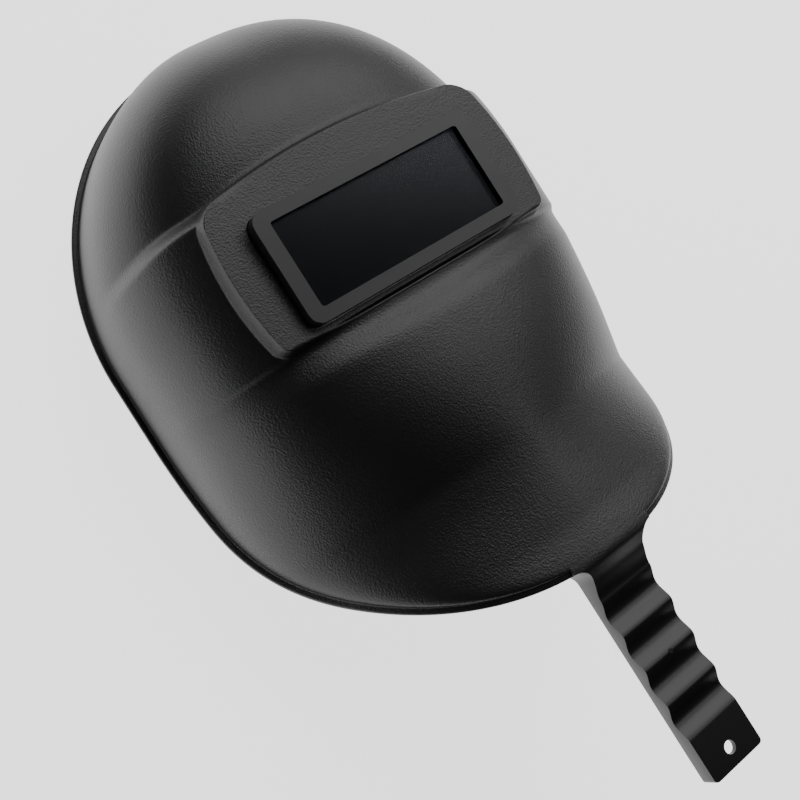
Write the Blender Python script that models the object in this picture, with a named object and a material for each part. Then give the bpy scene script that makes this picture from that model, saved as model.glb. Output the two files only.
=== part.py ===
"""Hand-held welding shield.

A moulded face shell with its handle, and a separate window frame that holds a stack of
welding glasses. The shield lies on the flat back of its rim: +X is its left-to-right
width, +Y runs from the handle's end to the crown, and +Z points out of the window.
"""

import math

import bmesh
import bpy
import numpy as np
from mathutils import Matrix, Vector

MM = 0.001
GAP = 0.3 * MM                      # clearance between pieces that touch
COLLECTION = "welding_hand_shield"

# Face shell: outline of the rim, seen from the front
WALL = 2.5 * MM                     # moulded wall thickness
LIP = 3.0 * MM                      # how far the rim's lip stands out
LIP_TOP = 2.5 * MM                  # height of the lip's upper face
HALF_WIDTH = 110.0 * MM             # half width of the wall, inside the lip
CROWN_Y = 201.0 * MM
SIDE_TOP_Y = 80.5 * MM              # the straight sides run from here
SIDE_END_Y = 3.0 * MM               # down to here
CHIN_Y = -93.5 * MM
CROWN_POWER = 1.93                  # roundness of the crown's outline
CHIN_POWER = 2.31                   # roundness of the jaw's outline

# Face shell: the rim leaves the flat back and sweeps forward to the chin
SWEEP_START_Y = 47.6 * MM
SWEEP_RADIUS = 127.0 * MM
SWEEP_SLOPE = math.radians(54.5)
SWEEP_TOP = 109.4 * MM              # the lip is level across the chin

# Face shell: height of the middle line, and how full each cross-section is
CROWN_FRONT = 89.7 * MM             # dome, just above the brow
CROWN_FRONT_Y = 111.0 * MM
CROWN_ROUND = (2.9, 2.35)
DOME_FULLNESS = 2.91
BROW_FRONT = 99.7 * MM
BROW_FULLNESS = 3.21
BROW_TOP_Y = 119.8 * MM             # middle of the step above the brow, at the plate
BROW_FLARE = 4.2 * MM               # how much higher that step lies beside the plate
BROW_FLARE_X = (70.0 * MM, 84.0 * MM)
BROW_ARCH = 1.3                     # drop of that step towards the sides, per metre squared
BROW_BOTTOM_Y = 44.0 * MM
BROW_EDGE = (6.0 * MM, 4.0 * MM)    # width of the rounded steps above and below
FACE_LINE = [                       # (y, z) down the nose and chin, in mm
    (44.0, 98.0), (28.0, 102.8), (0.0, 104.5), (-38.0, 103.6), (-75.0, 106.8), (-97.0, 110.5),
]
NOSE_FULLNESS = 3.0
JAW_FULLNESS = 1.66
JAW_Y = -35.0 * MM
RIM_TUCK = 0.4 * MM                 # the wall's form ends this far below the lip's top
STEP_SHIFT = 0.6                    # the wall's inner steps lie this much of a wall inward
BELOW = 20.0 * MM                   # how far the forms run on behind the rim before trimming
LEAST_RISE = 0.5 * MM               # a section's middle stands at least this far over its rim
BEND_STEPS = 12                     # rounds in which an arched row finds its place

# Brow plate: the flat raised pad round the window
PLATE_HALF = 78.6 * MM
PLATE_BULGE = 3.5                   # its sides draw in above and below, per metre squared
PLATE_WIDEST_Y = 77.0 * MM
PLATE_TOP_Y = 121.8 * MM
PLATE_BOTTOM_Y = 45.0 * MM
PLATE_CORNER = (9.0 * MM, 4.5 * MM)
PLATE_Z = (93.8 * MM, 96.8 * MM)    # at its top edge and at its bottom edge
PLATE_EDGE = 1.1 * MM

# Handle: a channel that is open at the back
NECK_LINE = [                       # (y, z) from inside the chin's wall to the grip, in mm
    (-90.0, 107.1), (-93.5, 108.6), (-97.0, 109.1), (-100.0, 107.9), (-104.0, 105.0),
    (-108.0, 102.5), (-112.5, 101.4),
]
GUSSET_LINE = [                     # (y, z) of the walls that run on inside the chin, in mm
    (-97.0, 93.0), (-76.0, 102.4), (-80.0, 104.0),
]
GRIP_HALF = 15.5 * MM
GRIP_END_Y = -204.0 * MM
GRIP_FRONT = 101.4 * MM
GRIP_BACK = 93.0 * MM
GRIP_CORNER = 2.0 * MM
NECK_RADIUS = 8.0 * MM
NECK_FILLET_Y = -95.0 * MM          # where the neck's fillets meet the rim
FINGER_START_Y = -112.5 * MM
FINGER_PITCH = 17.5 * MM
FINGER_COUNT = 4
FINGER_DEPTH = 3.4 * MM
HANG_HOLE_RADIUS = 3.0 * MM
HANG_HOLE_Y = GRIP_END_Y + 8.0 * MM
RIB = 2.0 * MM

# Window frame and its glasses
WINDOW_Y = 75.0 * MM
GLASS_FACE_Z = 100.7 * MM
GLASS_SIZE = (108.0 * MM, 50.0 * MM)
OPENING_SIZE = (104.0 * MM, 41.0 * MM)
FRAME_SIZE = (119.0 * MM, 53.0 * MM)
FRAME_CORNER = 6.0 * MM
FRAME_LIP = 1.5 * MM
POCKET_SIZE = tuple(size + 2 * GAP for size in GLASS_SIZE)
FLANGE_SIZE = (138.0 * MM, 58.0 * MM)
FLANGE_CORNER = 5.0 * MM
FLANGE_Z = (86.0 * MM, 88.5 * MM)
COVER_THICKNESS = 1.5 * MM
FILTER_THICKNESS = 3.0 * MM
CUSHION_THICKNESS = 2.0 * MM
CUSHION_WIDTH = 3.5 * MM
RETAINER_SIZE = (108.0 * MM, 50.0 * MM)
RETAINER_WALL = 4.0 * MM
RETAINER_BACK_Z = 85.7 * MM

# Fasteners and turn buttons
FRAME_SCREW_X = 64.8 * MM
FRAME_SCREW_Y = 22.0 * MM
BOSS_RADIUS = 3.4 * MM
PIVOT_BOSS_HEIGHT = 3.2 * MM        # how far the pivot bosses stand out of the flange
PIVOT_HOLE_DEPTH = 2.2 * MM         # how far their blind holes reach past it
PIVOT_SCREW_DEPTH = 1.6 * MM
SCREW_RADIUS = 1.45 * MM
PILOT_RADIUS = 1.75 * MM
HEAD_RADIUS = 2.8 * MM
HEAD_HEIGHT = 2.0 * MM
CROSS_LENGTH = 3.4 * MM             # the driver's cross in each screw's head
CROSS_WIDTH = 0.8 * MM
BUTTON_X = 63.6 * MM
BUTTON_LENGTH = 13.0 * MM
BUTTON_HALF_WIDTH = 4.4 * MM
BUTTON_TIP_RADIUS = 3.2 * MM
BUTTON_Z = (82.2 * MM, 85.4 * MM)
WASHER_RADIUS = 4.0 * MM
WASHER_THICKNESS = 0.6 * MM

BLACK = (0.012, 0.012, 0.013)


# ---------------------------------------------------------------- scene and materials

def clear_scene():
    for obj in list(bpy.data.objects):
        bpy.data.objects.remove(obj, do_unlink=True)


def make_collection(name):
    collection = bpy.data.collections.new(name)
    bpy.context.scene.collection.children.link(collection)
    return collection


def make_material(name, colour, roughness, metallic=0.0, alpha=1.0):
    material = bpy.data.materials.new(name)
    material.use_nodes = True
    shader = material.node_tree.nodes["Principled BSDF"]
    shader.inputs["Base Color"].default_value = (*colour, 1.0)
    shader.inputs["Roughness"].default_value = roughness
    shader.inputs["Metallic"].default_value = metallic
    shader.inputs["Alpha"].default_value = alpha
    return material


def new_object(name, mesh, collection, material=None):
    obj = bpy.data.objects.new(name, mesh)
    collection.objects.link(obj)
    if material is not None:
        mesh.materials.append(material)
    return obj


def new_cutter(name, bm):
    mesh = bpy.data.meshes.new(name)
    bm.to_mesh(mesh)
    bm.free()
    obj = new_object(name, mesh, CUTTERS)
    obj.hide_render = True
    obj.display_type = "WIRE"
    return obj


def add_boolean(obj, tool, operation="DIFFERENCE", crossing=False):
    """Cut, join or keep by another solid. A tool whose own parts cross says so."""
    boolean = obj.modifiers.new(tool.name, "BOOLEAN")
    boolean.operation = operation
    boolean.solver = "EXACT"
    boolean.use_self = crossing
    boolean.object = tool


# ---------------------------------------------------------------- simple solids

def rounded_outline(width, height, radius, centre, steps=5):
    """Counter-clockwise corner arcs of a rounded rectangle in the XY plane."""
    points = []
    for quarter in range(4):
        sx = (1, -1, -1, 1)[quarter]
        sy = (1, 1, -1, -1)[quarter]
        for step in range(steps + 1):
            angle = (quarter + step / steps) * math.pi / 2
            points.append((
                centre[0] + sx * (width / 2 - radius) + radius * math.cos(angle),
                centre[1] + sy * (height / 2 - radius) + radius * math.sin(angle),
            ))
    return points


def prism(bm, outline, low, high):
    """Extrude a flat XY outline from z = low to z = high."""
    face = bm.faces.new([bm.verts.new((x, y, low)) for x, y in outline])
    top = bmesh.ops.extrude_face_region(bm, geom=[face])["geom"]
    moved = [item for item in top if isinstance(item, bmesh.types.BMVert)]
    bmesh.ops.translate(bm, vec=(0, 0, high - low), verts=moved)
    bmesh.ops.recalc_face_normals(bm, faces=bm.faces)


def side_prism(name, profile, half):
    """Extrude a closed (y, z) side profile from x = -half to x = half."""
    bm = bmesh.new()
    face = bm.faces.new([bm.verts.new((-half, y, z)) for y, z in profile])
    side = bmesh.ops.extrude_face_region(bm, geom=[face])["geom"]
    moved = [item for item in side if isinstance(item, bmesh.types.BMVert)]
    bmesh.ops.translate(bm, vec=(2 * half, 0, 0), verts=moved)
    bmesh.ops.recalc_face_normals(bm, faces=bm.faces)
    return new_cutter(name, bm)


def block(width, height, radius, low, high, steps=5):
    bm = bmesh.new()
    prism(bm, rounded_outline(width, height, radius, (0, WINDOW_Y), steps), low, high)
    return bm


def cylinder(radius, low, high, centre, segments=24):
    bm = bmesh.new()
    place = Matrix.Translation((centre[0], centre[1], (low + high) / 2))
    bmesh.ops.create_cone(
        bm, cap_ends=True, segments=segments, radius1=radius, radius2=radius,
        depth=high - low, matrix=place)
    return bm


def solid(name, bm, material):
    mesh = bpy.data.meshes.new(name)
    bm.to_mesh(mesh)
    bm.free()
    return new_object(name, mesh, PARTS, material)


# ---------------------------------------------------------------- form of the face shell

def smoothstep(low, high, value):
    t = min(max((value - low) / (high - low), 0.0), 1.0)
    return t * t * (3 - 2 * t)


def face_line(y):
    """Height of the middle line, from a monotone cubic through FACE_LINE."""
    ys = np.array([point[0] for point in FACE_LINE[::-1]]) * MM
    zs = np.array([point[1] for point in FACE_LINE[::-1]]) * MM
    y = min(max(y, ys[0]), ys[-1])
    step = np.diff(ys)
    slope = np.diff(zs) / step
    tangent = np.zeros(len(ys))
    for i in range(1, len(ys) - 1):
        if slope[i - 1] * slope[i] > 0:
            tangent[i] = 2 * slope[i - 1] * slope[i] / (slope[i - 1] + slope[i])
    i = min(int(np.searchsorted(ys, y, side="right")) - 1, len(step) - 1)
    t = (y - ys[i]) / step[i]
    return float(
        zs[i] * (1 + 2 * t) * (1 - t) ** 2 + step[i] * tangent[i] * t * (1 - t) ** 2
        + zs[i + 1] * t * t * (3 - 2 * t) + step[i] * tangent[i + 1] * t * t * (t - 1))


def finger_line(y):
    """Depth of the finger grooves below the handle's front face."""
    turn = (FINGER_START_Y - y) / FINGER_PITCH
    if turn <= 0 or turn >= FINGER_COUNT:
        return 0.0
    return FINGER_DEPTH * abs(math.sin(math.pi * turn)) ** 1.3


def sweep_z(y):
    """Height of the lip's upper face, flat along the sides and rising to the chin."""
    run = SWEEP_START_Y - y
    arc_run = SWEEP_RADIUS * math.sin(SWEEP_SLOPE)
    if run <= 0:
        return LIP_TOP
    if run < arc_run:
        return LIP_TOP + SWEEP_RADIUS - math.sqrt(SWEEP_RADIUS ** 2 - run ** 2)
    rise = SWEEP_RADIUS * (1 - math.cos(SWEEP_SLOPE))
    return min(LIP_TOP + rise + (run - arc_run) * math.tan(SWEEP_SLOPE), SWEEP_TOP)


def outline_half_width(y, inset):
    """Half width of the shell at height y, drawn in all round by inset."""
    half = HALF_WIDTH - inset
    if y >= SIDE_TOP_Y:
        t = min((y - SIDE_TOP_Y) / (CROWN_Y - inset - SIDE_TOP_Y), 1.0)
        return half * (1 - t ** CROWN_POWER) ** (1 / CROWN_POWER)
    t = min(max((SIDE_END_Y - y) / (SIDE_END_Y - CHIN_Y - inset), 0.0), 1.0)
    return half * (1 - t ** CHIN_POWER) ** (1 / CHIN_POWER)


def section(x, y, middle, fullness, inset):
    """Height of one cross-section: a superellipse from the rim up to the middle line."""
    middle -= inset
    rim = min(sweep_z(y) - RIM_TUCK, middle - LEAST_RISE)
    t = min(abs(x) / outline_half_width(y, inset), 1.0)
    return rim + (middle - rim) * (1 - t ** fullness) ** (1 / fullness)


def plate_cover(x, y, inset):
    """1 on the brow plate, 0 off it, with a rounded step between."""
    radius = PLATE_CORNER[0] if y > WINDOW_Y else PLATE_CORNER[1]
    centre_y = (PLATE_TOP_Y + PLATE_BOTTOM_Y) / 2
    half_height = (PLATE_TOP_Y - PLATE_BOTTOM_Y) / 2
    arch = BROW_ARCH * x * x if y > WINDOW_Y else 0.0
    dx = abs(x) + PLATE_BULGE * (y - PLATE_WIDEST_Y) ** 2 - (PLATE_HALF - radius)
    dy = abs(y + arch - centre_y) - (half_height - radius)
    outside = math.hypot(max(dx, 0.0), max(dy, 0.0)) + min(max(dx, dy), 0.0) - radius
    outside += inset * STEP_SHIFT
    return 1 - smoothstep(-PLATE_EDGE, PLATE_EDGE, outside)


def shell_z(x, y, inset):
    """Height of the shell's outer face, or of its inner face one wall further in."""
    t = min(max((y - CROWN_FRONT_Y) / (CROWN_Y - inset - CROWN_FRONT_Y), 0.0), 1.0)
    crown = LIP_TOP + (CROWN_FRONT - LIP_TOP) * (
        1 - t ** CROWN_ROUND[0]) ** (1 / CROWN_ROUND[1])
    dome = section(x, y, crown, DOME_FULLNESS, inset)
    brow = section(x, y, BROW_FRONT, BROW_FULLNESS, inset)
    blend = min(max((BROW_BOTTOM_Y - y) / (BROW_BOTTOM_Y - JAW_Y), 0.0), 1.0)
    fullness = NOSE_FULLNESS + (JAW_FULLNESS - NOSE_FULLNESS) * blend
    face = section(x, y, face_line(y), fullness, inset)
    shift = inset * STEP_SHIFT
    top = BROW_TOP_Y + BROW_FLARE * smoothstep(*BROW_FLARE_X, abs(x))
    above = smoothstep(-BROW_EDGE[0] / 2, BROW_EDGE[0] / 2,
                       y + shift + BROW_ARCH * x * x - top)
    below = smoothstep(-BROW_EDGE[1] / 2, BROW_EDGE[1] / 2, y - BROW_BOTTOM_Y)
    form = face * (1 - below) + below * (brow * (1 - above) + dome * above)
    cover = plate_cover(x, y, inset)
    return form * (1 - cover) + (plate_z(y) - inset) * cover


def plate_z(y):
    """Height of the brow plate, which leans back a little towards its top."""
    slope = (y - PLATE_BOTTOM_Y) / (PLATE_TOP_Y - PLATE_BOTTOM_Y)
    return PLATE_Z[1] + (PLATE_Z[0] - PLATE_Z[1]) * slope


def row_heights(inset):
    """Y of each row of the shell's mesh, crown to chin, closest where it turns."""
    rows = []
    for i in range(11):
        angle = math.radians(3.5 + 68.0 * i / 11)
        rows.append(SIDE_TOP_Y + (CROWN_Y - inset - SIDE_TOP_Y)
                    * math.cos(angle) ** (2 / CROWN_POWER))
    shift = inset * STEP_SHIFT
    rows += [PLATE_TOP_Y - shift + PLATE_EDGE * k for k in (4.5, 2.7, 1.0, -1.0, -3.0)]
    rows += [BROW_BOTTOM_Y + BROW_EDGE[1] * k for k in (1.2, 0.5, 0.0, -0.5, -1.2)]
    rows += [y * MM for y in (108.0, 92.0, 76.0, 60.0, 33.0, 25.0, 14.0)]
    for i in range(14):
        angle = math.radians(85 * i / 13)
        rows.append(SIDE_END_Y - (SIDE_END_Y - CHIN_Y - inset)
                    * math.sin(angle) ** (2 / CHIN_POWER))
    return sorted(rows, reverse=True)


def column_places():
    """Places across a row from -1 to 1, closest at the steep sides and plate edges."""
    plate = PLATE_HALF / HALF_WIDTH
    edge = PLATE_EDGE / HALF_WIDTH
    half = [math.sin(math.pi / 2 * i / 13) ** 0.9 for i in range(14)]
    half = [t for t in half if abs(t - plate) > 3 * edge]
    half = sorted(half + [plate - edge, plate + edge])
    return [-t for t in half[:0:-1]] + half


def bent_place(column, row, inset):
    """A mesh point's (x, y). Rows near the brow's top edge are arched as it is."""
    near = smoothstep(CROWN_Y, PLATE_TOP_Y, row) * smoothstep(PLATE_BOTTOM_Y, PLATE_TOP_Y, row)
    y = row
    for _ in range(BEND_STEPS):
        x = column * outline_half_width(y, inset)
        y = row - near * BROW_ARCH * x * x
    return column * outline_half_width(y, inset), y


def shell_form(inset):
    """One face of the shell as a solid: its sheet, carried straight back and closed."""
    rows = row_heights(inset)
    columns = column_places()
    bm = bmesh.new()
    bmesh.ops.create_grid(
        bm, x_segments=len(columns) - 1, y_segments=len(rows) - 1, size=1.0)
    for vert in bm.verts:
        column = round((vert.co.x + 1) / 2 * (len(columns) - 1))
        row = round((1 - vert.co.y) / 2 * (len(rows) - 1))
        x, y = bent_place(columns[column], rows[row], inset)
        vert.co = (x, y, shell_z(x, y, inset))
    rim = [edge for edge in bm.edges if edge.is_boundary]
    made = bmesh.ops.extrude_edge_only(bm, edges=rim)["geom"]
    for vert in [item for item in made if isinstance(item, bmesh.types.BMVert)]:
        vert.co.z = -BELOW - inset
    back = [edge for edge in bm.edges if edge.is_boundary]
    bmesh.ops.contextual_create(bm, geom=back)
    bmesh.ops.recalc_face_normals(bm, faces=bm.faces)
    return bm


def rim_outline(inset, steps=24):
    """The shell's outline from the front, as arcs of two superellipses."""
    quarter = []
    for i in range(steps + 1):
        angle = math.pi / 2 * i / steps
        x = (HALF_WIDTH - inset) * math.cos(angle) ** (2 / CROWN_POWER)
        rise = (CROWN_Y - inset - SIDE_TOP_Y) * math.sin(angle) ** (2 / CROWN_POWER)
        quarter.append((x, SIDE_TOP_Y + rise))
    lower = []
    for i in range(steps):
        angle = math.pi / 2 * i / steps
        x = (HALF_WIDTH - inset) * math.cos(angle) ** (2 / CHIN_POWER)
        drop = (SIDE_END_Y - CHIN_Y - inset) * math.sin(angle) ** (2 / CHIN_POWER)
        lower.append((x, SIDE_END_Y - drop))
    right = [(0.0, CHIN_Y + inset)] + lower[::-1] + quarter
    return right + [(-x, y) for x, y in quarter[-2::-1] + lower]


def sweep_profile(rise, floor):
    """Side outline of the space between a low floor and the rim's sweep."""
    ys = [210 * MM, SWEEP_START_Y]
    ys += [SWEEP_START_Y - SWEEP_RADIUS * math.sin(SWEEP_SLOPE * i / 12)
           for i in range(1, 13)]
    rise_left = SWEEP_TOP - sweep_z(ys[-1])
    ys.append(ys[-1] - rise_left / math.tan(SWEEP_SLOPE))
    ys.append(CHIN_Y - 20 * MM)
    top = [(y, sweep_z(y) - LIP_TOP + rise) for y in ys]
    if floor is None:
        return top + [(y, z - LIP_TOP) for y, z in top[::-1]]
    return top + [(ys[-1], floor), (ys[0], floor)]


def rim_lip():
    """The lip that runs round the rim, following its sweep."""
    bm = bmesh.new()
    prism(bm, rim_outline(-LIP), -BELOW, 130 * MM)
    lip = new_cutter("lip", bm)
    bm = bmesh.new()
    prism(bm, rim_outline(WALL / 2), -2 * BELOW, 140 * MM)
    add_boolean(lip, side_prism("lip_band", sweep_profile(LIP_TOP, None), 150 * MM), "INTERSECT")
    add_boolean(lip, new_cutter("lip_inside", bm))
    return lip


def make_face_shell(material):
    """Outer form less inner form, trimmed along the rim, with lip, handle and bosses."""
    shell = solid("face_shell", shell_form(0.0), material)
    add_boolean(shell, new_cutter("inner_form", shell_form(WALL)))
    add_boolean(shell, side_prism("behind_rim", sweep_profile(0.0, -4 * BELOW), 150 * MM))
    add_boolean(shell, rim_lip(), "UNION")
    for tool in shell_stiffeners():
        add_boolean(shell, tool, "UNION")
    for tool in shell_cutters():
        add_boolean(shell, tool)
    return shell


def screw_places():
    return [(sx * FRAME_SCREW_X, WINDOW_Y + sy * FRAME_SCREW_Y)
            for sx in (-1, 1) for sy in (-1, 1)]


def plate_back_z(y):
    return plate_z(y) - WALL


def grip_line():
    """Side view of the handle's front face: neck, finger grooves and flat end."""
    line = [(y * MM, z * MM) for y, z in NECK_LINE]
    steps = 8
    for i in range(1, FINGER_COUNT * steps + 1):
        y = FINGER_START_Y - FINGER_PITCH * i / steps
        line.append((y, GRIP_FRONT - finger_line(y)))
    return line


def grip_outside():
    """Side outline of the handle, with the walls that run on inside the chin."""
    gusset = [(y * MM, z * MM) for y, z in GUSSET_LINE]
    end = [(GRIP_END_Y, GRIP_FRONT), (GRIP_END_Y, GRIP_BACK)]
    return grip_line() + end + gusset


def grip_inside():
    """Side outline of the channel, one wall in from the front and the end."""
    end_y = GRIP_END_Y + WALL
    line = [(y, z - WALL) for y, z in grip_line()]
    end = [(end_y, GRIP_FRONT - WALL), (end_y, GRIP_BACK - WALL)]
    clear = [(-60 * MM, GRIP_BACK - WALL), (-60 * MM, 130 * MM), (line[0][0], 130 * MM)]
    return line + end + clear


def neck_outline(inset):
    """Front outline of the handle, flared into the chin by a fillet on each side."""
    radius = NECK_RADIUS + inset
    half = GRIP_HALF - inset
    corner = max(GRIP_CORNER - inset, 0.4 * MM)
    right = [(half + radius, -70 * MM)]
    for i in range(7):
        angle = math.radians(90 + 90 * i / 6)
        right.append((half + radius * (1 + math.cos(angle)),
                      NECK_FILLET_Y - NECK_RADIUS + radius * math.sin(angle)))
    for i in range(4):
        angle = math.radians(-90 * i / 3)
        right.append((half - corner * (1 - math.cos(angle)),
                      GRIP_END_Y + inset + corner * (1 + math.sin(angle))))
    return right + [(-x, y) for x, y in right[::-1]]


def grip_solid(name, inset, profile):
    """The handle's front outline carried back, kept only inside its side outline."""
    bm = bmesh.new()
    prism(bm, neck_outline(inset), GRIP_BACK - 2 * inset, GRIP_FRONT + 20 * MM)
    body = new_cutter(name, bm)
    add_boolean(body, side_prism(f"{name}_side", profile, 2 * GRIP_HALF), "INTERSECT")
    return body


def shell_stiffeners():
    """The handle, its channel and ribs, and the screw bosses behind the plate."""
    grip = grip_solid("grip", 0.0, grip_outside())
    add_boolean(grip, grip_solid("channel", WALL, grip_inside()))
    tools = [grip]
    for i in range(1, FINGER_COUNT):
        y = FINGER_START_Y - i * FINGER_PITCH
        bm = bmesh.new()
        size = (2 * GRIP_HALF - WALL, RIB, GRIP_FRONT - WALL / 2 - GRIP_BACK - GAP)
        bmesh.ops.create_cube(bm, size=1.0, matrix=Matrix.Translation(
            (0, y, GRIP_BACK + GAP + size[2] / 2)) @ Matrix.Diagonal((*size, 1)))
        tools.append(new_cutter(f"rib_{i}", bm))
    for i, place in enumerate(screw_places()):
        high = plate_back_z(place[1]) + WALL / 2
        tools.append(new_cutter(
            f"boss_{i}", cylinder(BOSS_RADIUS, FLANGE_Z[1] + GAP, high, place, 16)))
    return tools


def shell_cutters():
    """The window opening, the bosses' pilot holes and the hole to hang it by."""
    width, height = FRAME_SIZE
    tools = [new_cutter("window_cut", block(
        width + 2 * GAP, height + 2 * GAP, FRAME_CORNER + GAP,
        FLANGE_Z[1], GLASS_FACE_Z + WALL))]
    for i, place in enumerate(screw_places()):
        high = plate_back_z(place[1]) + WALL / 4
        tools.append(new_cutter(
            f"pilot_{i}", cylinder(PILOT_RADIUS, FLANGE_Z[0], high, place, 16)))
    tools.append(new_cutter("hang_cut", cylinder(
        HANG_HOLE_RADIUS, GRIP_BACK, GRIP_FRONT + WALL, (0, HANG_HOLE_Y), 24)))
    return tools


# ---------------------------------------------------------------- window frame and glasses

def make_window_frame(material):
    """A deep frame with a front lip, a rear flange and two pivot bosses."""
    front = GLASS_FACE_Z + FRAME_LIP
    frame = solid("window_frame", block(
        *FRAME_SIZE, FRAME_CORNER, FLANGE_Z[0] + GAP, front), material)
    flange = new_cutter("flange", block(*FLANGE_SIZE, FLANGE_CORNER, *FLANGE_Z))
    add_boolean(frame, flange, "UNION")
    for i, side in enumerate((-1, 1)):
        place = (side * BUTTON_X, WINDOW_Y)
        boss = new_cutter(f"pivot_boss_{i}", cylinder(
            BOSS_RADIUS, FLANGE_Z[0] + GAP, FLANGE_Z[1] + PIVOT_BOSS_HEIGHT, place, 16))
        add_boolean(frame, boss, "UNION")
    add_boolean(frame, new_cutter("pocket", block(
        *POCKET_SIZE, 1.0 * MM, FLANGE_Z[0] - WALL, GLASS_FACE_Z, 2)))
    add_boolean(frame, new_cutter("opening", block(
        *OPENING_SIZE, 1.5 * MM, GLASS_FACE_Z - WALL, front + WALL, 3)))
    for i, place in enumerate(screw_places()):
        add_boolean(frame, new_cutter(f"flange_hole_{i}", cylinder(
            PILOT_RADIUS, FLANGE_Z[0] - WALL, FLANGE_Z[1] + WALL, place, 16)))
    for i, side in enumerate((-1, 1)):
        place = (side * BUTTON_X, WINDOW_Y)
        add_boolean(frame, new_cutter(f"pivot_hole_{i}", cylinder(
            PILOT_RADIUS, FLANGE_Z[0] - WALL, FLANGE_Z[1] + PIVOT_HOLE_DEPTH, place, 16)))
    return frame


def make_glass_stack(clear, dark, rubber):
    """Cover glass, filter glass and inner glass, then the rubber cushion."""
    layers = [
        ("cover_glass", COVER_THICKNESS, clear),
        ("filter_glass", FILTER_THICKNESS, dark),
        ("inner_glass", COVER_THICKNESS, clear),
    ]
    front = GLASS_FACE_Z - GAP
    for name, thickness, material in layers:
        bm = block(*GLASS_SIZE, 0.8 * MM, front - thickness, front, 1)
        solid(name, bm, material)
        front -= thickness + GAP
    back = front - CUSHION_THICKNESS
    cushion = solid("glass_cushion", block(
        *GLASS_SIZE, 1.0 * MM, back, front, 2), rubber)
    inner = [size - 2 * CUSHION_WIDTH for size in GLASS_SIZE]
    add_boolean(cushion, new_cutter("cushion_cut", block(
        *inner, 1.5 * MM, back - WALL, front + WALL, 3)))
    return back - GAP


def make_retainer(front, material):
    """The frame that presses the glasses forward, held by the turn buttons."""
    retainer = solid("glass_retainer", block(
        *RETAINER_SIZE, 1.0 * MM, RETAINER_BACK_Z, front, 2), material)
    inner = [size - 2 * RETAINER_WALL for size in RETAINER_SIZE]
    add_boolean(retainer, new_cutter("retainer_cut", block(
        *inner, 2.0 * MM, RETAINER_BACK_Z - WALL, front + WALL, 3)))
    return retainer


# ---------------------------------------------------------------- fasteners and buttons

def screw(name, place, head_top, tip, material):
    """A pan-head screw: the head hangs below head_top and the shank runs up to tip."""
    body = solid(name, cylinder(
        HEAD_RADIUS, head_top - HEAD_HEIGHT, head_top, place, 20), material)
    shank = new_cutter(f"{name}_shank", cylinder(
        SCREW_RADIUS, head_top - HEAD_HEIGHT / 2, tip, place, 16))
    add_boolean(body, shank, "UNION")
    cross = bmesh.new()
    bottom = Matrix.Translation((place[0], place[1], head_top - HEAD_HEIGHT))
    for size in ((CROSS_LENGTH, CROSS_WIDTH), (CROSS_WIDTH, CROSS_LENGTH)):
        bmesh.ops.create_cube(
            cross, size=1.0, matrix=bottom @ Matrix.Diagonal((*size, HEAD_HEIGHT, 1)))
    add_boolean(body, new_cutter(f"{name}_cross", cross), crossing=True)


def make_frame_screws(material):
    names = ("frame_screw_lower_left", "frame_screw_upper_left",
             "frame_screw_lower_right", "frame_screw_upper_right")
    for name, place in zip(names, screw_places()):
        tip = plate_back_z(place[1]) - GAP
        screw(name, place, FLANGE_Z[0] - GAP, tip, material)


def make_turn_button(side, plastic, steel):
    """A button on its own screw and washer. Its arm points in over the retainer."""
    label = "left" if side < 0 else "right"
    pivot = Vector((side * BUTTON_X, WINDOW_Y, 0))
    bm = bmesh.new()
    prism(bm, button_outline(side), *BUTTON_Z)
    button = solid(f"turn_button_{label}", bm, plastic)
    button.location = pivot
    bore = new_cutter(f"button_bore_{label}", cylinder(
        SCREW_RADIUS + GAP, BUTTON_Z[0] - WALL, BUTTON_Z[1] + WALL, pivot, 20))
    add_boolean(button, bore)
    washer_top = BUTTON_Z[0] - GAP
    washer = solid(f"button_washer_{label}", cylinder(
        WASHER_RADIUS, washer_top - WASHER_THICKNESS, washer_top, pivot, 24), steel)
    hole = new_cutter(f"washer_bore_{label}", cylinder(
        SCREW_RADIUS + GAP, washer_top - WALL, washer_top + WALL, pivot, 20))
    add_boolean(washer, hole)
    screw(f"button_screw_{label}", pivot, washer_top - WASHER_THICKNESS - GAP,
          FLANGE_Z[1] + PIVOT_SCREW_DEPTH, steel)


def button_outline(side):
    """A round hub with an arm that tapers to a rounded tip."""
    points = []
    for i in range(15):
        angle = math.radians(-100 + 200 * i / 14)
        points.append((BUTTON_HALF_WIDTH * math.cos(angle),
                       BUTTON_HALF_WIDTH * math.sin(angle)))
    tip_x = BUTTON_TIP_RADIUS - BUTTON_LENGTH
    for i in range(9):
        angle = math.radians(90 + 180 * i / 8)
        points.append((tip_x + BUTTON_TIP_RADIUS * math.cos(angle),
                       BUTTON_TIP_RADIUS * math.sin(angle)))
    return [(side * x, y) for x, y in points]


def build():
    black_plastic = make_material("black_polypropylene", BLACK, 0.42)
    frame_plastic = make_material("black_nylon", (0.02, 0.02, 0.021), 0.5)
    clear = make_material("clear_cover_plastic", (0.8, 0.85, 0.87), 0.05, alpha=0.3)
    dark = make_material("dark_filter_glass", (0.01, 0.015, 0.012), 0.04)
    rubber = make_material("cushion_rubber", (0.03, 0.03, 0.03), 0.8)
    button_plastic = make_material("button_nylon", (0.03, 0.03, 0.03), 0.45)
    steel = make_material("zinc_plated_steel", (0.6, 0.6, 0.58), 0.3, metallic=1.0)
    make_face_shell(black_plastic)
    make_window_frame(frame_plastic)
    cushion_back = make_glass_stack(clear, dark, rubber)
    make_retainer(cushion_back, frame_plastic)
    make_frame_screws(steel)
    for side in (-1, 1):
        make_turn_button(side, button_plastic, steel)


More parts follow.
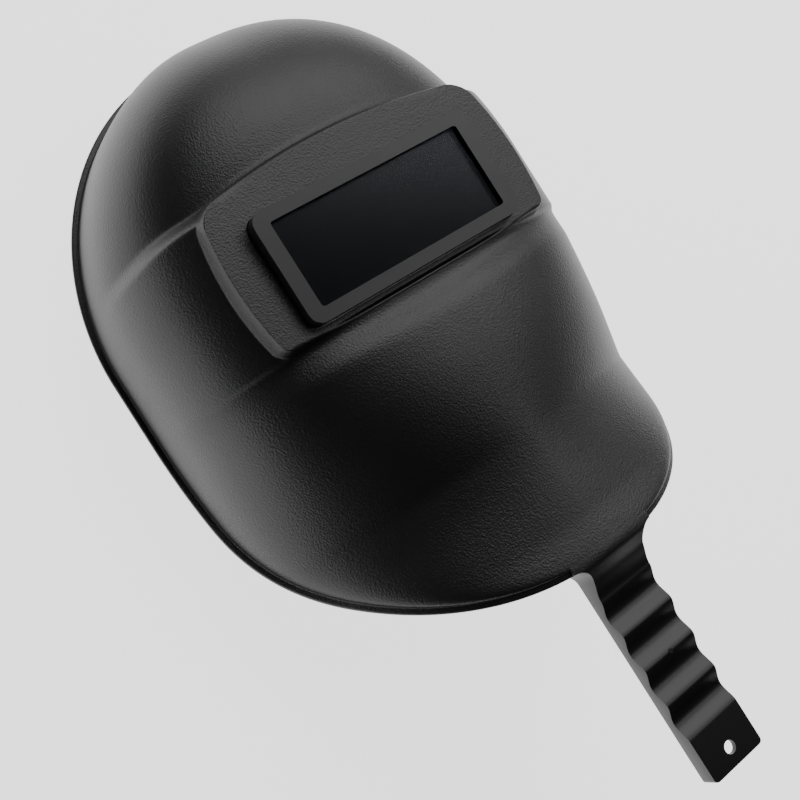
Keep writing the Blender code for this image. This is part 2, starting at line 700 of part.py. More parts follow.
clear_scene()
PARTS = make_collection(COLLECTION)
CUTTERS = make_collection("cutters")
build()
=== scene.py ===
"""Looks for the hand-held welding shield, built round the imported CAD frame."""

import math

import bpy
import numpy as np
from mathutils import Matrix, Vector


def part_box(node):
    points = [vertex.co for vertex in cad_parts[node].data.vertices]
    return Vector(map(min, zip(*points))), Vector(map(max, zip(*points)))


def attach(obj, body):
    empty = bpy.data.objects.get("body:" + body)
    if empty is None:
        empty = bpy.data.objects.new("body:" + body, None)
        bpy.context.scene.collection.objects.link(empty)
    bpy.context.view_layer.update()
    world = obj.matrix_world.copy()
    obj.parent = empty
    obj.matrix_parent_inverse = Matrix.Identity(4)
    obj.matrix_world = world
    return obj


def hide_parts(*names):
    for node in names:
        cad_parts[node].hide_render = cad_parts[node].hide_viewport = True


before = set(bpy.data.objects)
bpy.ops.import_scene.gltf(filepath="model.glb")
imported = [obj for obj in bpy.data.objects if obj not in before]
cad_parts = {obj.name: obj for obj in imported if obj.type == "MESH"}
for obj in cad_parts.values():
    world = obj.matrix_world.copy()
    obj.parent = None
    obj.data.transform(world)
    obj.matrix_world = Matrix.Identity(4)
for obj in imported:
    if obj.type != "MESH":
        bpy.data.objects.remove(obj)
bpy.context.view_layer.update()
bpy.ops.object.select_all(action="DESELECT")


# ------------------------------------------------------------------ studio
# A pale floor that the shield lies on, face up, with one camera above its left side. Soft
# lights stand overhead, over the chin, low along both sides and behind the crown.

FLOOR_SIZE = 6.0
CAMERA_PLACE = Vector((-0.2953, 0.0095, 0.5853))
CAMERA_YAW = math.radians(27.38)
CAMERA_PITCH = math.radians(0.41)
CAMERA_ROLL = math.radians(32.42)
CAMERA_LENS = 59.5                  # mm
WORLD_GLOW = 0.05

back = Vector((-math.sin(CAMERA_YAW) * math.cos(CAMERA_PITCH), math.sin(CAMERA_PITCH),
               math.cos(CAMERA_YAW) * math.cos(CAMERA_PITCH)))
level = (-back).cross(Vector((0, 1, 0))).normalized()
above = level.cross(-back)
turned = Matrix((
    level * math.cos(CAMERA_ROLL) - above * math.sin(CAMERA_ROLL),
    level * math.sin(CAMERA_ROLL) + above * math.cos(CAMERA_ROLL),
    back)).transposed()
bpy.ops.object.camera_add(location=CAMERA_PLACE, rotation=turned.to_euler())
camera = bpy.context.object
camera.data.lens = CAMERA_LENS
bpy.context.scene.camera = camera

bpy.ops.mesh.primitive_plane_add(size=FLOOR_SIZE)
floor = bpy.context.object
floor.name = "floor"


def soft_light(name, place, target, width, height, power):
    """A rectangular light that faces its target, with its power in watts."""
    facing = (Vector(place) - Vector(target)).to_track_quat("Z", "Y").to_euler()
    bpy.ops.object.light_add(type="AREA", location=place, rotation=facing)
    light = bpy.context.object
    light.name = name
    light.data.shape = "RECTANGLE"
    light.data.size = width
    light.data.size_y = height
    light.data.energy = power


soft_light("overhead", (0.79, 0.88, 1.2), (0.625, 0.52, 0.0), 1.8, 1.1, 21)
soft_light("chin_fill", (0.66, -0.12, 1.15), (0.66, -0.11, 0.0), 0.6, 0.24, 1.5)
soft_light("left_low", (-1.5, 0.1, 0.16), (0, 0.0, 0.02), 1.7, 0.28, 2.4)
soft_light("right_low", (1.5, 0.0, 0.5), (0, 0.0, 0.05), 1.8, 0.7, 2.4)
soft_light("behind_crown", (0.55, 1.45, 0.35), (0, 0.1, 0.05), 1.8, 0.5, 2.6)

world = bpy.data.worlds.new("studio")
world.use_nodes = True
sky = world.node_tree.nodes["Background"]
sky.inputs["Color"].default_value = (1.0, 1.0, 1.0, 1.0)
sky.inputs["Strength"].default_value = WORLD_GLOW
bpy.context.scene.world = world


# ------------------------------------------------------------------ face shell
# One thin moulding of black polypropylene, with a fine leather grain on its front. A lip
# stiffens its rim, and a flat brow plate surrounds the window opening.

MM = 0.001
WALL = 2.5 * MM
LIP = 3.0 * MM
LIP_THICK = 2.5 * MM
shell_low, shell_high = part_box("face_shell")
frame_low, frame_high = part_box("window_frame")
WINDOW_Y = (frame_low.y + frame_high.y) / 2
HALF_WIDTH = shell_high.x - LIP
CROWN_Y = shell_high.y - LIP
SIDE_TOP_Y = 80.5 * MM              # the straight sides run from here
SIDE_END_Y = 3.0 * MM               # down to here
CHIN_Y = -93.5 * MM
CROWN_POWER = 1.93                  # roundness of the crown's outline
CHIN_POWER = 2.31                   # roundness of the jaw's outline

SWEEP_START_Y = 47.6 * MM           # the rim is flat above here
SWEEP_RADIUS = 127.0 * MM
SWEEP_SLOPE = math.radians(54.5)
SWEEP_TOP = 109.4 * MM

CROWN_FRONT = 89.7 * MM
CROWN_FRONT_Y = 111.0 * MM
CROWN_ROUND = (2.9, 2.35)
DOME_FULLNESS = 2.91
BROW_FRONT = 99.7 * MM
BROW_FULLNESS = 3.21
BROW_TOP_Y = 119.8 * MM             # middle of the step above the brow, at the plate
BROW_FLARE = 4.2 * MM               # how much higher that step lies beside the plate
BROW_FLARE_X = (62.0 * MM, 94.0 * MM)
BROW_ARCH = 1.3                     # drop of that step towards the sides, per metre squared
BROW_BOTTOM_Y = 44.0 * MM
BROW_EDGE = (8.5 * MM, 4.0 * MM)
FACE_LINE = [                       # (y, z) down the nose and chin, in mm
    (44.0, 98.0), (28.0, 102.8), (0.0, 104.5), (-38.0, 103.6), (-75.0, 106.8), (-97.0, 110.5),
]
NOSE_FULLNESS = 3.1
JAW_FULLNESS = 1.66
JAW_Y = -35.0 * MM
LEAST_RISE = 0.5 * MM               # the middle line stays this far above the rim
STEP_SHIFT = 0.6                    # share of an inset by which steps move inside

PLATE_HALF = 78.6 * MM
PLATE_BULGE = 3.5                   # its sides draw in above and below, per metre squared
PLATE_WIDEST_Y = 77.0 * MM
PLATE_TOP_Y = 121.8 * MM
PLATE_BOTTOM_Y = 45.0 * MM
PLATE_CORNER = (9.0 * MM, 4.5 * MM)
PLATE_Z = (93.8 * MM, 96.8 * MM)
PLATE_EDGE = 1.1 * MM
WINDOW_GAP = 0.3 * MM
WINDOW_CORNER = 6.3 * MM
LIP_FILLET = 0.8 * MM
INNER_TUCK = 0.4 * MM               # how far the inner face starts below the rim
LIP_ROUND = 0.9 * MM
INNER_ROUND = 0.5 * MM
SEAM_REACH = 0.001 * MM
SHELL_SMOOTH_ANGLE = math.radians(50)


def smoothstep(low, high, value):
    t = np.clip((value - low) / (high - low), 0, 1)
    return t * t * (3 - 2 * t)


def monotone(points, value):
    """A smooth curve through (y, z) points that never overshoots them."""
    ys = np.array([point[0] for point in points]) * MM
    zs = np.array([point[1] for point in points]) * MM
    if ys[0] > ys[-1]:
        ys, zs = ys[::-1], zs[::-1]
    value = np.clip(value, ys[0], ys[-1])
    step = np.diff(ys)
    slope = np.diff(zs) / step
    tangent = np.zeros(len(ys))
    same = slope[:-1] * slope[1:] > 0
    total = np.where(same, slope[:-1] + slope[1:], 1)
    tangent[1:-1] = np.where(same, 2 * slope[:-1] * slope[1:] / total, 0)
    i = np.clip(np.searchsorted(ys, value, side="right") - 1, 0, len(step) - 1)
    t = (value - ys[i]) / step[i]
    return (zs[i] * (1 + 2 * t) * (1 - t) ** 2 + step[i] * tangent[i] * t * (1 - t) ** 2
            + zs[i + 1] * t * t * (3 - 2 * t) + step[i] * tangent[i + 1] * t * t * (t - 1))


def sweep_z(y):
    """Height of the lip's front face: flat along the sides, rising to the chin."""
    run = np.maximum(SWEEP_START_Y - y, 0)
    arc_run = SWEEP_RADIUS * math.sin(SWEEP_SLOPE)
    on_arc = np.sqrt(SWEEP_RADIUS ** 2 - np.minimum(run, arc_run) ** 2)
    rise = SWEEP_RADIUS - on_arc + np.maximum(run - arc_run, 0) * math.tan(SWEEP_SLOPE)
    return np.minimum(LIP_THICK + rise, SWEEP_TOP)


def half_width(y, inset):
    half = HALF_WIDTH - inset
    up = np.clip((y - SIDE_TOP_Y) / (CROWN_Y - inset - SIDE_TOP_Y), 0, 1)
    down = np.clip((SIDE_END_Y - y) / (SIDE_END_Y - CHIN_Y - inset), 0, 1)
    crown = (1 - up ** CROWN_POWER) ** (1 / CROWN_POWER)
    chin = (1 - down ** CHIN_POWER) ** (1 / CHIN_POWER)
    return np.maximum(half * np.minimum(crown, chin), 1e-6)


def section(x, y, middle, fullness, inset, tuck):
    """Height of one cross-section: a superellipse from the rim up to the middle line."""
    middle = middle - inset
    rim = np.minimum(sweep_z(y) - tuck, middle - LEAST_RISE)
    t = np.minimum(np.abs(x) / half_width(y, inset), 1)
    return rim + (middle - rim) * (1 - t ** fullness) ** (1 / fullness)


def box_distance(x, y, width, low_y, high_y, radius):
    """Distance outside a rounded rectangle, negative inside it."""
    dx = np.abs(x) - (width / 2 - radius)
    dy = np.abs(y - (low_y + high_y) / 2) - ((high_y - low_y) / 2 - radius)
    return np.hypot(np.maximum(dx, 0), np.maximum(dy, 0)) + np.minimum(
        np.maximum(dx, dy), 0) - radius


def plate_distance(x, y):
    """Distance outside the brow plate, whose sides and top edge are bowed."""
    radius = np.where(y > WINDOW_Y, PLATE_CORNER[0], PLATE_CORNER[1])
    across = np.abs(x) + PLATE_BULGE * (y - PLATE_WIDEST_Y) ** 2
    arched = y + np.where(y > WINDOW_Y, BROW_ARCH * x * x, 0)
    return box_distance(across, arched, 2 * PLATE_HALF, PLATE_BOTTOM_Y, PLATE_TOP_Y, radius)


def window_distance(x, y):
    return box_distance(
        x, y, WINDOW_WIDTH, WINDOW_Y - WINDOW_HEIGHT / 2, WINDOW_Y + WINDOW_HEIGHT / 2,
        WINDOW_CORNER)


def shell_z(x, y, inset, tuck):
    """Height of the front face, or of the inner face one wall further in."""
    t = np.clip((y - CROWN_FRONT_Y) / (CROWN_Y - inset - CROWN_FRONT_Y), 0, 1)
    crown = LIP_THICK + (CROWN_FRONT - LIP_THICK) * (
        1 - t ** CROWN_ROUND[0]) ** (1 / CROWN_ROUND[1])
    dome = section(x, y, crown, DOME_FULLNESS, inset, tuck)
    brow = section(x, y, BROW_FRONT, BROW_FULLNESS, inset, tuck)
    blend = np.clip((BROW_BOTTOM_Y - y) / (BROW_BOTTOM_Y - JAW_Y), 0, 1)
    fullness = NOSE_FULLNESS + (JAW_FULLNESS - NOSE_FULLNESS) * blend
    face = section(x, y, monotone(FACE_LINE, y), fullness, inset, tuck)
    top = BROW_TOP_Y + BROW_FLARE * smoothstep(*BROW_FLARE_X, np.abs(x))
    over = smoothstep(-BROW_EDGE[0] / 2, BROW_EDGE[0] / 2,
                      y + inset * STEP_SHIFT + BROW_ARCH * x * x - top)
    under = smoothstep(-BROW_EDGE[1] / 2, BROW_EDGE[1] / 2, y - BROW_BOTTOM_Y)
    form = face * (1 - under) + under * (brow * (1 - over) + dome * over)
    cover = 1 - smoothstep(-PLATE_EDGE, PLATE_EDGE,
                           plate_distance(x, y) + inset * STEP_SHIFT)
    lean = (y - PLATE_BOTTOM_Y) / (PLATE_TOP_Y - PLATE_BOTTOM_Y)
    plate = PLATE_Z[1] + (PLATE_Z[0] - PLATE_Z[1]) * lean - inset
    return form * (1 - cover) + plate * cover


def rim_distance(x, y, inset=0.0):
    """Below zero inside the rim's outline, which is two superellipses with straight sides."""
    up = np.maximum(y - SIDE_TOP_Y, 0) / (CROWN_Y - inset - SIDE_TOP_Y)
    down = np.maximum(SIDE_END_Y - y, 0) / (SIDE_END_Y - CHIN_Y - inset)
    across = np.abs(x) / (HALF_WIDTH - inset)
    power = np.where(y > WINDOW_Y, CROWN_POWER, CHIN_POWER)
    return across ** power + (up + down) ** power - 1


def reach(angles, outside):
    """How far each ray from the window's centre runs before it is outside a shape."""
    low = np.zeros(len(angles))
    high = np.full(len(angles), FARTHEST)
    for _ in range(HALVINGS):
        middle = (low + high) / 2
        gone = outside(middle * np.cos(angles), WINDOW_Y + middle * np.sin(angles)) > 0
        high = np.where(gone, middle, high)
        low = np.where(gone, low, middle)
    return low


WINDOW_WIDTH = 119.0 * MM + 2 * WINDOW_GAP      # the frame and the gap round it
WINDOW_HEIGHT = 53.0 * MM + 2 * WINDOW_GAP
RAYS = 600
FINE_STEPS = 24                     # trial directions per ray
HALVINGS = 48
FARTHEST = 0.4
RING_CROWDING = 2.6                 # how much the rings crowd towards the rim
PLATE_RINGS = 6
EDGE_RINGS = 10
FORM_RINGS = 72
INNER_RINGS = 32

# The rays are spaced evenly between the rim's length and the plate's.
fine = np.linspace(-math.pi, math.pi, FINE_STEPS * RAYS + 1)
length = np.zeros(len(fine))
for shape in (rim_distance, plate_distance):
    far = reach(fine, shape)
    edge = np.stack([far * np.cos(fine), far * np.sin(fine)])
    run = np.concatenate([[0], np.cumsum(np.hypot(*np.diff(edge, axis=1)))])
    length += run / run[-1]
angles = np.interp(np.arange(RAYS) * length[-1] / RAYS, length, fine)

to_window = reach(angles, window_distance)
to_plate = reach(angles, plate_distance)
to_rim = reach(angles, rim_distance)
to_inner_rim = reach(angles, lambda x, y: rim_distance(x, y, WALL))
to_inner_plate = reach(angles, lambda x, y: plate_distance(x, y) + WALL * STEP_SHIFT)
edge_half = 1.5 * PLATE_EDGE          # the rings cover the plate's edge this far each way


def on_rays(distance):
    return distance * np.cos(angles), WINDOW_Y + distance * np.sin(angles)


rings = []
for i in range(PLATE_RINGS):
    share = i / PLATE_RINGS
    x, y = on_rays(to_window * (1 - share) + (to_plate - edge_half) * share)
    rings.append((x, y, shell_z(x, y, 0.0, -LIP_FILLET)))
for i in range(EDGE_RINGS):
    x, y = on_rays(to_plate + edge_half * (2 * i / EDGE_RINGS - 1))
    rings.append((x, y, shell_z(x, y, 0.0, -LIP_FILLET)))
for i in range(FORM_RINGS + 1):
    share = 1 - (1 - i / FORM_RINGS) ** RING_CROWDING
    start = to_plate + edge_half
    x, y = on_rays(start + (to_rim - start) * share)
    rings.append((x, y, shell_z(x, y, 0.0, -LIP_FILLET)))

# The lip's section follows the rim, square to it. Each pair is out from the wall, and
# forward from the lip's front face.
rim_x, rim_y = on_rays(to_rim)
rim = np.stack([rim_x, rim_y, sweep_z(rim_y)])
along = np.roll(rim, -1, axis=1) - np.roll(rim, 1, axis=1)
along /= np.linalg.norm(along, axis=0)
out = np.stack([along[1], -along[0], np.zeros(RAYS)])
out /= np.linalg.norm(out, axis=0)
forward = np.cross(along, out, axis=0)
forward *= np.sign(forward[2])


def arc(centre, radius, start, end, steps):
    """Points round an arc, angles in degrees."""
    turns = [math.radians(start + (end - start) * i / steps) for i in range(steps + 1)]
    return [(centre[0] + radius * math.cos(a), centre[1] + radius * math.sin(a))
            for a in turns]


lip_section = (
    arc((LIP_FILLET, LIP_FILLET), LIP_FILLET, 190, 270, 4)
    + arc((LIP - LIP_ROUND, -LIP_ROUND), LIP_ROUND, 90, 0, 4)
    + arc((LIP - LIP_ROUND, LIP_ROUND - LIP_THICK), LIP_ROUND, 0, -90, 4)
    + arc((INNER_ROUND - WALL, INNER_ROUND - LIP_THICK), INNER_ROUND, -90, -180, 3))
side = 1 if (out * np.stack([rim_x, rim_y - WINDOW_Y, 0 * rim_x])).sum() > 0 else -1
for away, ahead in lip_section:
    rings.append(tuple(rim + side * out * away + forward * ahead))

# The inner face runs back from the rim to the window.
start = to_inner_plate + edge_half
for i in range(INNER_RINGS):
    share = 1 - (i / INNER_RINGS) ** RING_CROWDING
    x, y = on_rays(start + (to_inner_rim - start) * share)
    rings.append((x, y, shell_z(x, y, WALL, INNER_TUCK)))
for i in range(EDGE_RINGS):
    x, y = on_rays(to_inner_plate + edge_half * (1 - 2 * i / EDGE_RINGS))
    rings.append((x, y, shell_z(x, y, WALL, INNER_TUCK)))
for i in range(PLATE_RINGS + 1):
    share = i / PLATE_RINGS
    x, y = on_rays((to_inner_plate - edge_half) * (1 - share) + to_window * share)
    rings.append((x, y, shell_z(x, y, WALL, INNER_TUCK)))

# The last ring is the first again, so that the sheet closes into one wall.
rings.append(rings[0])
bpy.ops.mesh.primitive_grid_add(x_subdivisions=RAYS, y_subdivisions=len(rings) - 1)
shell = bpy.context.object
shell.name = "face_shell_moulding"
places = np.stack([np.stack(ring, axis=1) for ring in rings])          # ring, ray, axis
places = np.concatenate([places, places[:, :1]], axis=1)
shell.data.vertices.foreach_set("co", places.ravel())
shell.data.update()
bpy.ops.object.mode_set(mode="EDIT")
bpy.ops.mesh.select_all(action="SELECT")
bpy.ops.mesh.remove_doubles(threshold=SEAM_REACH)
bpy.ops.mesh.normals_make_consistent(inside=False)
bpy.ops.object.mode_set(mode="OBJECT")
bpy.ops.object.shade_smooth_by_angle(angle=SHELL_SMOOTH_ANGLE)
bpy.ops.object.select_all(action="DESELECT")
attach(shell, "shield")
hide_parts("face_shell")


class Value:
    """A shader socket that can be used in a Python expression."""

    def __init__(self, tree, socket):
        self.tree = tree
        self.socket = socket

    def math(self, operation, *values):
        node = self.tree.nodes.new("ShaderNodeMath")
        node.operation = operation
        for place, value in enumerate(values):
            if isinstance(value, Value):
                self.tree.links.new(value.socket, node.inputs[place])
            else:
                node.inputs[place].default_value = value
        return Value(self.tree, node.outputs[0])

    def __add__(self, other):
        return self.math("ADD", self, other)

    __radd__ = __add__

    def __mul__(self, other):
        return self.math("MULTIPLY", self, other)

    __rmul__ = __mul__


class Finish:
    """A new material, and one method that adds any other node to it."""

    def __init__(self, name):
        self.material = bpy.data.materials.new(name)
        self.material.use_nodes = True
        self.tree = self.material.node_tree
        self.shader = self.tree.nodes["Principled BSDF"]

    def node(self, kind, settings=None, inputs=None, output=0):
        node = self.tree.nodes.new(kind)
        for key, value in (settings or {}).items():
            setattr(node, key, value)
        for key, value in (inputs or {}).items():
            self.feed(node, key, value)
        return Value(self.tree, node.outputs[output])

    def feed(self, node, key, value):
        if isinstance(value, Value):
            self.tree.links.new(value.socket, node.inputs[key])
        else:
            node.inputs[key].default_value = value

    def surface(self, **inputs):
        for key, value in inputs.items():
            self.feed(self.shader, key.replace("_", " "), value)
        return self.material


def finish_with(piece, material):
    piece.data.materials.clear()
    piece.data.materials.append(material)


# Black polypropylene: fine pebbled grain on the shell, which fades out down the neck, so
# that the grip is satin.
grain = Finish("black_polypropylene")
place = grain.node("ShaderNodeTexCoord", output=3)
pebbles = grain.node("ShaderNodeTexVoronoi", {"feature": "SMOOTH_F1"},
                     {"Vector": place, "Scale": 1050.0, "Smoothness": 0.5})
wrinkle = grain.node("ShaderNodeTexNoise", None,
                     {"Vector": place, "Scale": 1450.0, "Detail": 2.0, "Roughness": 0.5})
patchy = grain.node("ShaderNodeTexNoise", None, {"Vector": place, "Scale": 25.0, "Detail": 2.0})
along_y = grain.node("ShaderNodeSeparateXYZ", None, {"Vector": place}, output=1)
grained = grain.node("ShaderNodeMapRange", {"interpolation_type": "SMOOTHSTEP"},
                     {"Value": along_y, "From Min": -0.106, "From Max": -0.088,
                      "To Min": 0.12, "To Max": 1.0})
height = (pebbles * 0.5 + wrinkle * 0.5) * grained * (patchy * 0.8 + 0.6)
bump = grain.node("ShaderNodeBump", None,
                  {"Height": height, "Strength": 0.55, "Distance": 0.0004})
cloud = grain.node("ShaderNodeTexNoise", None,
                   {"Vector": place, "Scale": 14.0, "Detail": 4.0})
finish_with(shell, grain.surface(
    Base_Color=(0.004, 0.004, 0.0042, 1.0), Roughness=cloud * 0.08 + grained * 0.04 + 0.34,
    Normal=bump, IOR=1.5))


# ------------------------------------------------------------------ handle
# Moulded with the shell: a channel that is open at the back, with four finger grooves in
# its front, ribs behind them, and a hole near its end to hang the shield by.

GRIP_HALF = 15.5 * MM
GRIP_FRONT = 101.4 * MM
GRIP_BACK = 93.0 * MM
GRIP_CORNER = 2.0 * MM
GRIP_END_Y = shell_low.y
NECK_RADIUS = 8.0 * MM
NECK_FILLET_Y = -95.0 * MM          # where the neck's fillets meet the rim
NECK_FRONT = [                      # (y, z) from the chin to the grip, in mm
    (-91.0, 110.3), (-95.5, 110.0), (-103.5, 105.3), (-112.5, 101.4),
]
NECK_START_Y = -88.0 * MM           # the chin's own form runs down to here
NECK_LIFT = 0.08 * MM               # how far the neck covers the lip
GUSSET_LINE = [(-97.0, 93.0), (-78.0, 102.0)]
GUSSET_TOP_Y = -78.0 * MM
FINGER_START_Y = -112.5 * MM
FINGER_PITCH = 17.5 * MM
FINGER_COUNT = 4
FINGER_DEPTH = 3.4 * MM
FINGER_ROUNDNESS = 1.7              # softness of the crests between the grooves
CHIN_DIP = 0.35 * MM                # how far the neck's top sinks under the chin
EDGE_ROUND = 0.9 * MM
RIB = 2.0 * MM
GATE_Y = FINGER_START_Y - 2 * FINGER_PITCH      # a gate mark stands on the second crest
GATE_RADIUS = 1.1 * MM
GATE_HEIGHT = 0.25 * MM
HANG_HOLE_RADIUS = 3.0 * MM
HANG_HOLE_Y = GRIP_END_Y + 8.0 * MM
NECK_BLEND_Y = (-99.0 * MM, -91.0 * MM)         # from the neck's line to the face's
BOW_FADE_Y = (-106.0 * MM, -93.5 * MM)          # the neck turns flat across
LIFT_Y = (-93.5 * MM, -89.5 * MM)               # the lift over the lip grows
SINK_Y = -91.0 * MM                             # the top starts to sink here
HOLE_CUT = 30.0 * MM
BEVEL_ANGLE = math.radians(55)
HANDLE_SMOOTH_ANGLE = math.radians(35)
ROWS = 300
COLUMNS = 36


def neck_half_width(y, inset):
    """Half the handle's width, flared into the chin by a fillet on each side."""
    radius = NECK_RADIUS + inset
    rise = np.clip(y - (NECK_FILLET_Y - NECK_RADIUS), 0, radius)
    flare = radius - np.sqrt(np.maximum(radius ** 2 - rise ** 2, 0))
    near_end = np.clip(GRIP_END_Y + inset + GRIP_CORNER - y, 0, GRIP_CORNER)
    corner = GRIP_CORNER - np.sqrt(np.maximum(GRIP_CORNER ** 2 - near_end ** 2, 0))
    return GRIP_HALF - inset + flare - corner


def grip_front_z(x, y, inset):
    """Height of the handle's front: the chin's own form first, then neck and grooves."""
    on_chin = np.maximum(y, NECK_START_Y)
    chin = shell_z(x, on_chin, 0.0, -LIP_FILLET)
    bow = monotone(FACE_LINE, on_chin) - chin
    turn = (FINGER_START_Y - y) / FINGER_PITCH
    groove = np.where((turn > 0) & (turn < FINGER_COUNT),
                      FINGER_DEPTH * np.abs(np.sin(math.pi * turn)) ** FINGER_ROUNDNESS, 0)
    share = smoothstep(*NECK_BLEND_Y, y)
    line = monotone(FACE_LINE, y) * share + monotone(NECK_FRONT, y) * (1 - share)
    neck = (line - groove - bow * smoothstep(*BOW_FADE_Y, y)
            + NECK_LIFT * (1 - smoothstep(*LIFT_Y, y)))
    sink = CHIN_DIP * smoothstep(SINK_Y, GUSSET_TOP_Y, y)
    return np.where(y > NECK_START_Y, chin, neck) - sink - inset


def handle_body(name, inset, end_y, top_y, floor_z):
    """A plan-shaped slab of the handle from its front down to its back line."""
    bpy.ops.mesh.primitive_grid_add(x_subdivisions=COLUMNS, y_subdivisions=ROWS)
    body = bpy.context.object
    body.name = name
    flat = np.zeros(len(body.data.vertices) * 3)
    body.data.vertices.foreach_get("co", flat)
    u, v, _ = flat.reshape(-1, 3).T
    y = end_y + (top_y - end_y) * (v + 1) / 2
    x = np.sin(u * math.pi / 2) * neck_half_width(y, inset)
    spots = np.stack([x, y, grip_front_z(x, y, inset)], axis=1)
    body.data.vertices.foreach_set("co", spots.ravel())
    body.data.update()
    bpy.ops.object.mode_set(mode="EDIT")
    bpy.ops.mesh.select_all(action="SELECT")
    bpy.ops.mesh.extrude_region_move(TRANSFORM_OT_translate={"value": (0, 0, -0.001)})
    bpy.ops.object.mode_set(mode="OBJECT")
    for vert in body.data.vertices:
        if vert.select:
            vert.co.z = floor_z(vert.co.y)
    bpy.ops.object.mode_set(mode="EDIT")
    bpy.ops.mesh.select_all(action="SELECT")
    bpy.ops.mesh.normals_make_consistent(inside=False)
    bpy.ops.object.mode_set(mode="OBJECT")
    return body


def cut(piece, tool, operation="DIFFERENCE"):
    boolean = piece.modifiers.new("cut", "BOOLEAN")
    boolean.operation = operation
    boolean.object = tool
    bpy.context.view_layer.objects.active = piece
    bpy.ops.object.modifier_apply(modifier="cut")
    bpy.data.objects.remove(tool)


def gusset_z(y):
    return float(monotone(GUSSET_LINE, y))


handle = handle_body("handle_moulding", 0.0, GRIP_END_Y, GUSSET_TOP_Y, gusset_z)
bpy.context.view_layer.objects.active = handle
rounding = handle.modifiers.new("edges", "BEVEL")
rounding.width = EDGE_ROUND
rounding.segments = 4
rounding.limit_method = "ANGLE"
rounding.angle_limit = BEVEL_ANGLE
bpy.ops.object.modifier_apply(modifier="edges")
channel = handle_body("channel", WALL, GRIP_END_Y + WALL, GUSSET_TOP_Y + 20 * MM,
                      lambda y: GRIP_BACK - WALL)
cut(handle, channel)
for i in range(1, FINGER_COUNT):
    y = FINGER_START_Y - i * FINGER_PITCH
    bpy.ops.mesh.primitive_cube_add(size=1.0, location=(0, y, (GRIP_FRONT + GRIP_BACK) / 2))
    rib = bpy.context.object
    rib.scale = (2 * GRIP_HALF - WALL, RIB, GRIP_FRONT - GRIP_BACK - WALL)
    bpy.ops.object.transform_apply(location=True, scale=True)
    cut(handle, rib, "UNION")
bpy.ops.mesh.primitive_cylinder_add(
    vertices=20, radius=GATE_RADIUS, depth=2 * MM,
    location=(0.7 * MM, GATE_Y, GRIP_FRONT + GATE_HEIGHT - MM))
cut(handle, bpy.context.object, "UNION")
bpy.ops.mesh.primitive_cylinder_add(
    vertices=48, radius=HANG_HOLE_RADIUS, depth=HOLE_CUT,
    location=(0, HANG_HOLE_Y, GRIP_FRONT))
cut(handle, bpy.context.object)
bpy.ops.object.select_all(action="DESELECT")
handle.select_set(True)
bpy.context.view_layer.objects.active = handle
bpy.ops.object.shade_smooth_by_angle(angle=HANDLE_SMOOTH_ANGLE)
bpy.ops.object.select_all(action="DESELECT")
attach(handle, "shield")
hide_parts("face_shell")

finish_with(handle, grain.material)


# ------------------------------------------------------------------ frame and retainer
# Window frame, glass retainer and turn buttons, moulded of black nylon with smooth faces.
# They keep their solids.

smooth = Finish("black_nylon_smooth")
place = smooth.node("ShaderNodeTexCoord", output=3)
fine = smooth.node("ShaderNodeTexNoise", None,
                   {"Vector": place, "Scale": 1400.0, "Detail": 2.0})
cloud = smooth.node("ShaderNodeTexNoise", None,
                    {"Vector": place, "Scale": 70.0, "Detail": 3.0})
bump = smooth.node("ShaderNodeBump", None,
                   {"Height": fine, "Strength": 0.06, "Distance": 0.0002})
smooth.surface(Base_Color=(0.005, 0.005, 0.0052, 1.0), Roughness=cloud * 0.08 + 0.36,
               Normal=bump, IOR=1.5)
for node in ("window_frame", "glass_retainer", "turn_button_left", "turn_button_right"):
    finish_with(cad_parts[node], smooth.material)


# ------------------------------------------------------------------ glasses
# Two clear plates with the dark welding filter between them, all of float glass with a thin
# film of dust that softens what they mirror.

GLASS_IOR = 1.35
GLASS_TINT = (0.86, 0.9, 1.0, 1.0)
CLEAR_COVER = 0.25

clear = Finish("clear_cover_glass")
place = clear.node("ShaderNodeTexCoord", output=3)
smear = clear.node("ShaderNodeTexNoise", None,
                   {"Vector": place, "Scale": 40.0, "Detail": 5.0})
clear.surface(Base_Color=(0.004, 0.004, 0.006, 1.0), Roughness=smear * 0.04 + 0.18,
              Alpha=CLEAR_COVER, IOR=GLASS_IOR, Specular_Tint=GLASS_TINT)

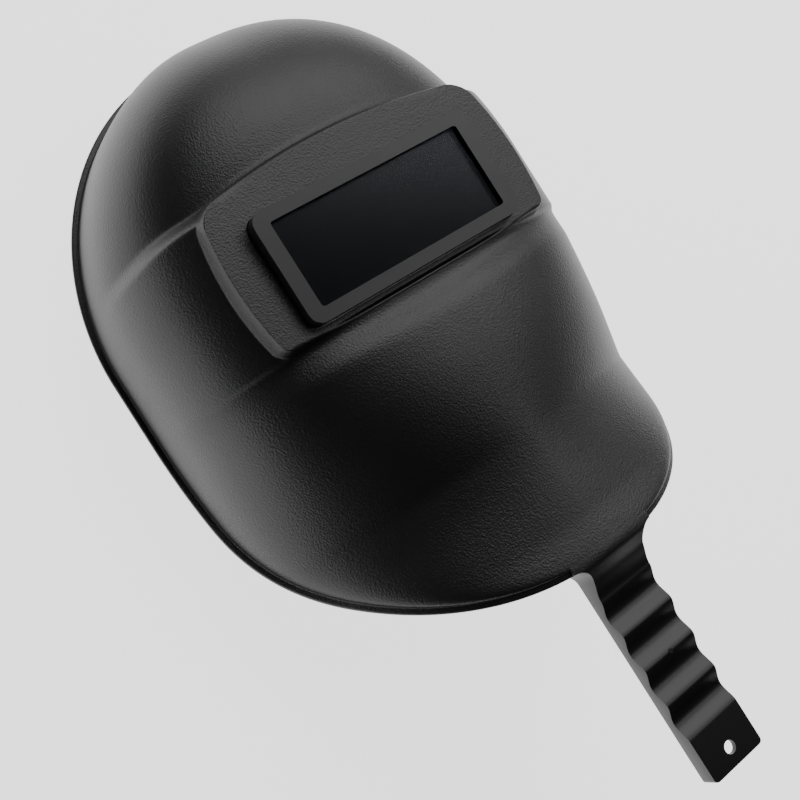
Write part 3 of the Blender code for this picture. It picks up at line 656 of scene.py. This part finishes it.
dark = Finish("dark_filter_glass")
place = dark.node("ShaderNodeTexCoord", output=3)
smear = dark.node("ShaderNodeTexNoise", None,
                  {"Vector": place, "Scale": 30.0, "Detail": 3.0})
dark.surface(Base_Color=(0.0006, 0.0006, 0.0008, 1.0), Roughness=smear * 0.04 + 0.18,
             IOR=GLASS_IOR, Specular_Tint=GLASS_TINT)

finish_with(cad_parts["cover_glass"], clear.material)
finish_with(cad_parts["inner_glass"], clear.material)
finish_with(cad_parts["filter_glass"], dark.material)


# ------------------------------------------------------------------ cushion
# A frame of soft black rubber that keeps the glasses from rattling, cut from sheet.

rubber = Finish("black_rubber")
place = rubber.node("ShaderNodeTexCoord", output=3)
speck = rubber.node("ShaderNodeTexNoise", None,
                    {"Vector": place, "Scale": 900.0, "Detail": 4.0})
bump = rubber.node("ShaderNodeBump", None,
                   {"Height": speck, "Strength": 0.3, "Distance": 0.0003})
finish_with(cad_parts["glass_cushion"], rubber.surface(
    Base_Color=(0.02, 0.02, 0.02, 1.0), Roughness=speck * 0.1 + 0.7, Normal=bump))


# ------------------------------------------------------------------ screws and washers
# Zinc-plated steel: four screws hold the frame to the shell, and two screws with washers
# carry the turn buttons.

zinc = Finish("zinc_plated_steel")
place = zinc.node("ShaderNodeTexCoord", output=3)
spangle = zinc.node("ShaderNodeTexNoise", None,
                    {"Vector": place, "Scale": 700.0, "Detail": 4.0})
bump = zinc.node("ShaderNodeBump", None,
                 {"Height": spangle, "Strength": 0.1, "Distance": 0.0002})
zinc.surface(Base_Color=(0.55, 0.56, 0.55, 1.0), Metallic=1.0,
             Roughness=spangle * 0.2 + 0.22, Normal=bump)
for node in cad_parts:
    if "screw" in node or "washer" in node:
        finish_with(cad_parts[node], zinc.material)


# ------------------------------------------------------------------ floor finish
# Matt white, with a glow of its own, so that the floor stays pale under soft light.

FLOOR_GREY = 0.5
FLOOR_GLOW = 1.9

pale = Finish("pale_floor")
finish_with(floor, pale.surface(
    Base_Color=(FLOOR_GREY, FLOOR_GREY, FLOOR_GREY, 1.0), Roughness=0.8,
    Emission_Color=(1.0, 1.0, 1.0, 1.0), Emission_Strength=FLOOR_GLOW))
